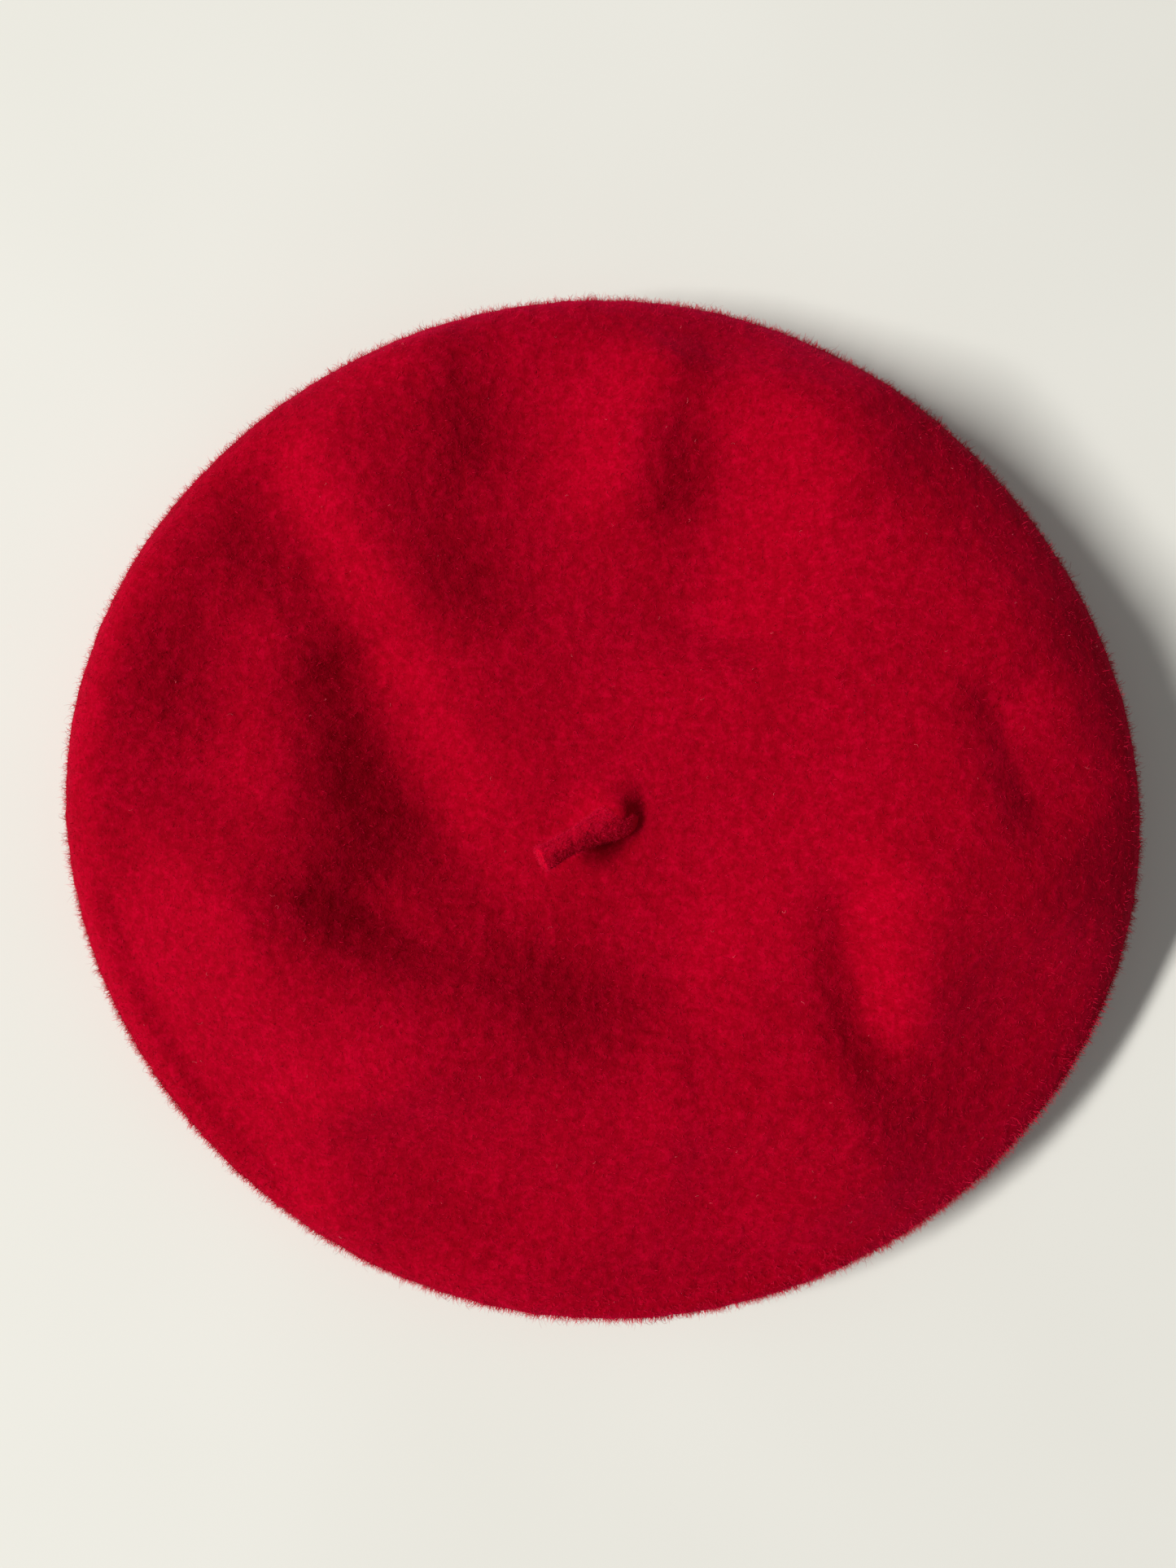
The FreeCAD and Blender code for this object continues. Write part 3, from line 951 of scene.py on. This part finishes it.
def tape_stitches():
    """Six stitches along the tape's sewn edge, at the top of the ribbon's outside."""
    count, spread, length = 6, math.radians(11.4), 1.9
    out = BAND_OUTSIDE + 0.26
    middle = math.atan2(TAPE_WAY[1], TAPE_WAY[0])
    parts = []
    for k in range(count):
        turn = middle + spread * (k / (count - 1) - 0.5)
        path = []
        for share in np.linspace(-1, 1, 7):
            x, y = polar(out - 0.1 * abs(share) ** 4, turn + share * length / 2 / out)
            path.append((x, y, TAPE_PIVOT[2] + 0.5 + 0.05 * share))
        parts.append(twisted_thread(path, 0.24, sides=5))
    return joined(parts)


SATIN = woven_material("satin_tape", rgb(0.68, 0.66, 0.62), rgb(0.84, 0.82, 0.78), 0.5, 0.35, 0.36, 0.3, 0.25)
tape = dressed(mesh_object("satin_tape", *tape_skin(), SATIN), "care_tape", "satin_tape", "care_label")
dressed(mesh_object("tape_stitches", *tape_stitches(), SEWING_THREAD), "beret", "sewing_thread",
        "care_label_stitches")

# Loose wool fibres: a short nap on the crown, a fuzz round the rim and on the stalk, and pale lint


def scattered(skin, count, weight, seed):
    """Points spread over a skin, with its normals there; weight says where they fall thicker."""
    points, triangles = skin
    random = np.random.default_rng(seed)
    a, b, c = (points[triangles[:, k]] for k in range(3))
    normals = np.cross(b - a, c - a)
    area = np.linalg.norm(normals, axis=1)
    chance = area * weight((a + b + c) / 3, normals / np.maximum(area, 1e-12)[:, None])
    chosen = random.choice(len(area), count, p=chance / chance.sum())
    u, v = random.random((2, count, 1))
    u, v = np.where(u + v > 1, 1 - u, u), np.where(u + v > 1, 1 - v, v)
    spots = a[chosen] + u * (b - a)[chosen] + v * (c - a)[chosen]
    return spots, normals[chosen] / area[chosen][:, None]


def unit(vectors):
    return vectors / np.maximum(np.linalg.norm(vectors, axis=1), 1e-9)[:, None]


def fibres(spots, normals, lengths, widths, lift, curl, joints, seed):
    """Closed three-sided tapering hairs. Lift is 0 flat to 1 upright, and curl is how far they bend."""
    random = np.random.default_rng(seed)
    count = len(spots)
    flat = random.normal(size=(count, 3))
    flat = unit(flat - normals * (flat * normals).sum(1)[:, None])
    lift = np.clip(lift * random.uniform(0.5, 1.5, count), 0.02, 1)[:, None]
    way = unit(normals * lift + flat * (1 - lift * 0.75))
    bend = unit(np.cross(way, random.normal(size=(count, 3))))
    bend = unit(bend - normals * np.minimum((bend * normals).sum(1), 0)[:, None] * 1.2)
    angle = (curl * random.uniform(0.3, 1.4, count))[:, None]
    third = np.cross(way, bend)

    def line(turn):
        """The hairs' middles where they have turned that far."""
        return spots - normals * 0.05 + lengths[:, None] * (
            way * np.sin(turn) / angle + bend * (1 - np.cos(turn)) / angle)

    rings = []
    for k in range(joints):
        share = k / joints
        turn = angle * share
        middle = line(turn)
        out = bend * np.cos(turn) - way * np.sin(turn)
        size = widths[:, None] * (1 - 0.65 * share)
        for corner in range(3):
            turned = corner * TURN / 3
            rings.append(middle + (out * math.cos(turned) + third * math.sin(turned)) * size)
    points = np.stack(rings + [line(angle)], axis=1).reshape(-1, 3)
    pattern = [(0, 2, 1)]
    for k in range(joints - 1):
        for corner in range(3):
            a, b = 3 * k + corner, 3 * k + (corner + 1) % 3
            pattern += [(a, b, b + 3), (a, b + 3, a + 3)]
    last = 3 * (joints - 1)
    pattern += [(last + corner, last + (corner + 1) % 3, last + 3) for corner in range(3)]
    size = 3 * joints + 1
    faces = (np.arange(count) * size)[:, None, None] + np.array(pattern)
    return points, faces.reshape(-1, 3)


def fibre_piece(name, skin, count, weight, lengths, width, lift, curl, joints, material, seed):
    """A piece of loose fibres on a skin; weight says where, and lengths are the shortest and longest."""
    random = np.random.default_rng(seed + 100)
    spots, normals = scattered(skin, count, weight, seed)
    long = random.uniform(*lengths, count)
    wide = width * random.uniform(0.7, 1.3, count)
    points, faces = fibres(spots, normals, long, wide, lift, curl, joints, seed)
    points[:, 2] = np.maximum(points[:, 2], 0.02)
    made = mesh_object(name, points, faces, material)
    return made


def on_crown(middle, normals):
    """Everywhere on the outside above the rim's widest line, away from the stalk's root."""
    away = np.hypot(middle[:, 0] - STALK_ROOT[0], middle[:, 1] - STALK_ROOT[1])
    outer = (normals[:, 2] > 0.05) & (middle[:, 2] > EDGE) & (away > 7)
    return np.where(outer & (middle[:, 2] > ceiling(middle[:, 0], middle[:, 1]) + 1.2), 1.0, 0.0)


def on_rim(middle, normals):
    """The rolled rim, thickest at its widest line."""
    angle = np.arctan2(middle[:, 1], middle[:, 0])
    rho = np.hypot(middle[:, 0], middle[:, 1]) / outline(angle) * MEAN
    outward = normals[:, 0] * np.cos(angle) + normals[:, 1] * np.sin(angle)
    near = np.exp(-((middle[:, 2] - EDGE - 1) / 3.5) ** 2) + 0.03
    return np.where((outward > 0.1) & (rho > 131), near, 0.0)


def on_tail(middle, normals):
    """The stalk, where it is clear of its root."""
    return np.where(middle[:, 2] > STALK_PIVOT[2] + 1.5, 1.0, 0.0)


NAP_DEEP = plain_fibre("wool_fibre_deep", rgb(0.34, 0.0004, 0.008))
NAP_BRIGHT = plain_fibre("wool_fibre_bright", rgb(0.70, 0.003, 0.040), 0.5)
NAP_PINK = plain_fibre("wool_fibre_pink", rgb(0.88, 0.16, 0.20), 0.4)

# name, number, where, shortest and longest, half width, lift, curl, joints, material, seed
LOOSE_FIBRES = (
    ("crown_nap_deep", 12000, on_crown, (0.6, 1.7), 0.050, 0.25, 1.6, 2, NAP_DEEP, 11),
    ("crown_nap_bright", 19500, on_crown, (0.5, 1.8), 0.046, 0.30, 1.6, 2, NAP_BRIGHT, 12),
    ("crown_lint", 150, on_crown, (0.4, 2.0), 0.045, 0.35, 3.2, 6, NAP_PINK, 13),
    ("rim_fuzz", 19500, on_rim, (0.9, 3.0), 0.064, 0.95, 1.5, 2, NAP_BRIGHT, 14),
    ("rim_bloom", 19500, on_rim, (0.6, 1.8), 0.060, 0.85, 1.6, 2, NAP_BRIGHT, 17),
    ("rim_long_hairs", 2000, on_rim, (1.6, 4.2), 0.045, 0.95, 3.0, 6, NAP_DEEP, 15),
)
for name, *values in LOOSE_FIBRES:
    piece = fibre_piece(name, FELT_SKIN, *values)
    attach(piece, "beret")

tail_fuzz = fibre_piece("stalk_fuzz", STALK_SKIN, 2600, on_tail, (0.4, 1.3), 0.045, 0.6, 1.8, 2,
                        NAP_BRIGHT, 16)
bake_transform(tail_fuzz)

# The room: floor, light and camera


def aim(thing, place, target):
    """Puts a camera or light at a place, looking at the target, both in metres."""
    thing.location = place
    thing.rotation_mode = "QUATERNION"
    thing.rotation_quaternion = (Vector(target) - Vector(place)).to_track_quat("-Z", "Y")


def direction(azimuth, elevation):
    a, e = math.radians(azimuth), math.radians(elevation)
    return Vector((math.cos(a) * math.cos(e), math.sin(a) * math.cos(e), math.sin(e)))


def make_floor():
    made, tree, shader = new_material("floor", (("Specular IOR Level", 0.2),))
    place = place_node(tree)
    tone = noise_node(tree, place, 160, 2)
    tree.links.new(ramp_node(tree, tone, ((0.3, rgb(0.755, 0.740, 0.671)), (0.7, rgb(0.785, 0.770, 0.703)))),
                   shader.inputs["Base Color"])
    tree.links.new(spread_value(tree, tone, 0.80, 0.90), shader.inputs["Roughness"])
    sides = 96
    edge = [(*polar(FLOOR_RADIUS, TURN * k / sides), 0) for k in range(sides)]
    mesh_object("floor", edge, [tuple(range(sides))], made)


def make_light():
    """A long soft light like a window, low on the left, and a pale room round it."""
    high_end, low_end = (direction(*end) for end in WINDOW_ENDS)
    middle = (high_end + low_end).normalized()
    strip = bpy.data.lights.new("window", "AREA")
    strip.shape = "RECTANGLE"
    strip.energy = WINDOW_ENERGY
    strip.size, strip.size_y = WINDOW_SIZE
    key = bpy.data.objects.new("window", strip)
    bpy.context.scene.collection.objects.link(key)
    along = (low_end - high_end).normalized()
    key.matrix_world = Matrix((along, middle.cross(along), middle)).transposed().to_4x4()
    key.location = middle * WINDOW_DISTANCE
    key.visible_camera = False
    world = bpy.data.worlds.new("room")
    world.use_nodes = True
    background = world.node_tree.nodes["Background"]
    background.inputs["Color"].default_value = rgb(0.96, 0.98, 1.0)
    background.inputs["Strength"].default_value = ROOM_STRENGTH
    bpy.context.scene.world = world
    bpy.context.scene.view_settings.view_transform = "Standard"


def make_camera():
    lens = bpy.data.cameras.new("camera")
    lens.lens, lens.sensor_width = LENS, 36.0
    lens.clip_start, lens.clip_end = 0.01, 20
    camera = bpy.data.objects.new("camera", lens)
    bpy.context.scene.collection.objects.link(camera)
    target = Vector((SEEN_FROM[0], SEEN_FROM[1], EDGE)) * MM
    aim(camera, target + direction(*CAMERA_WAY) * CAMERA_DISTANCE, target)
    bpy.context.scene.camera = camera


make_floor()
make_light()
make_camera()
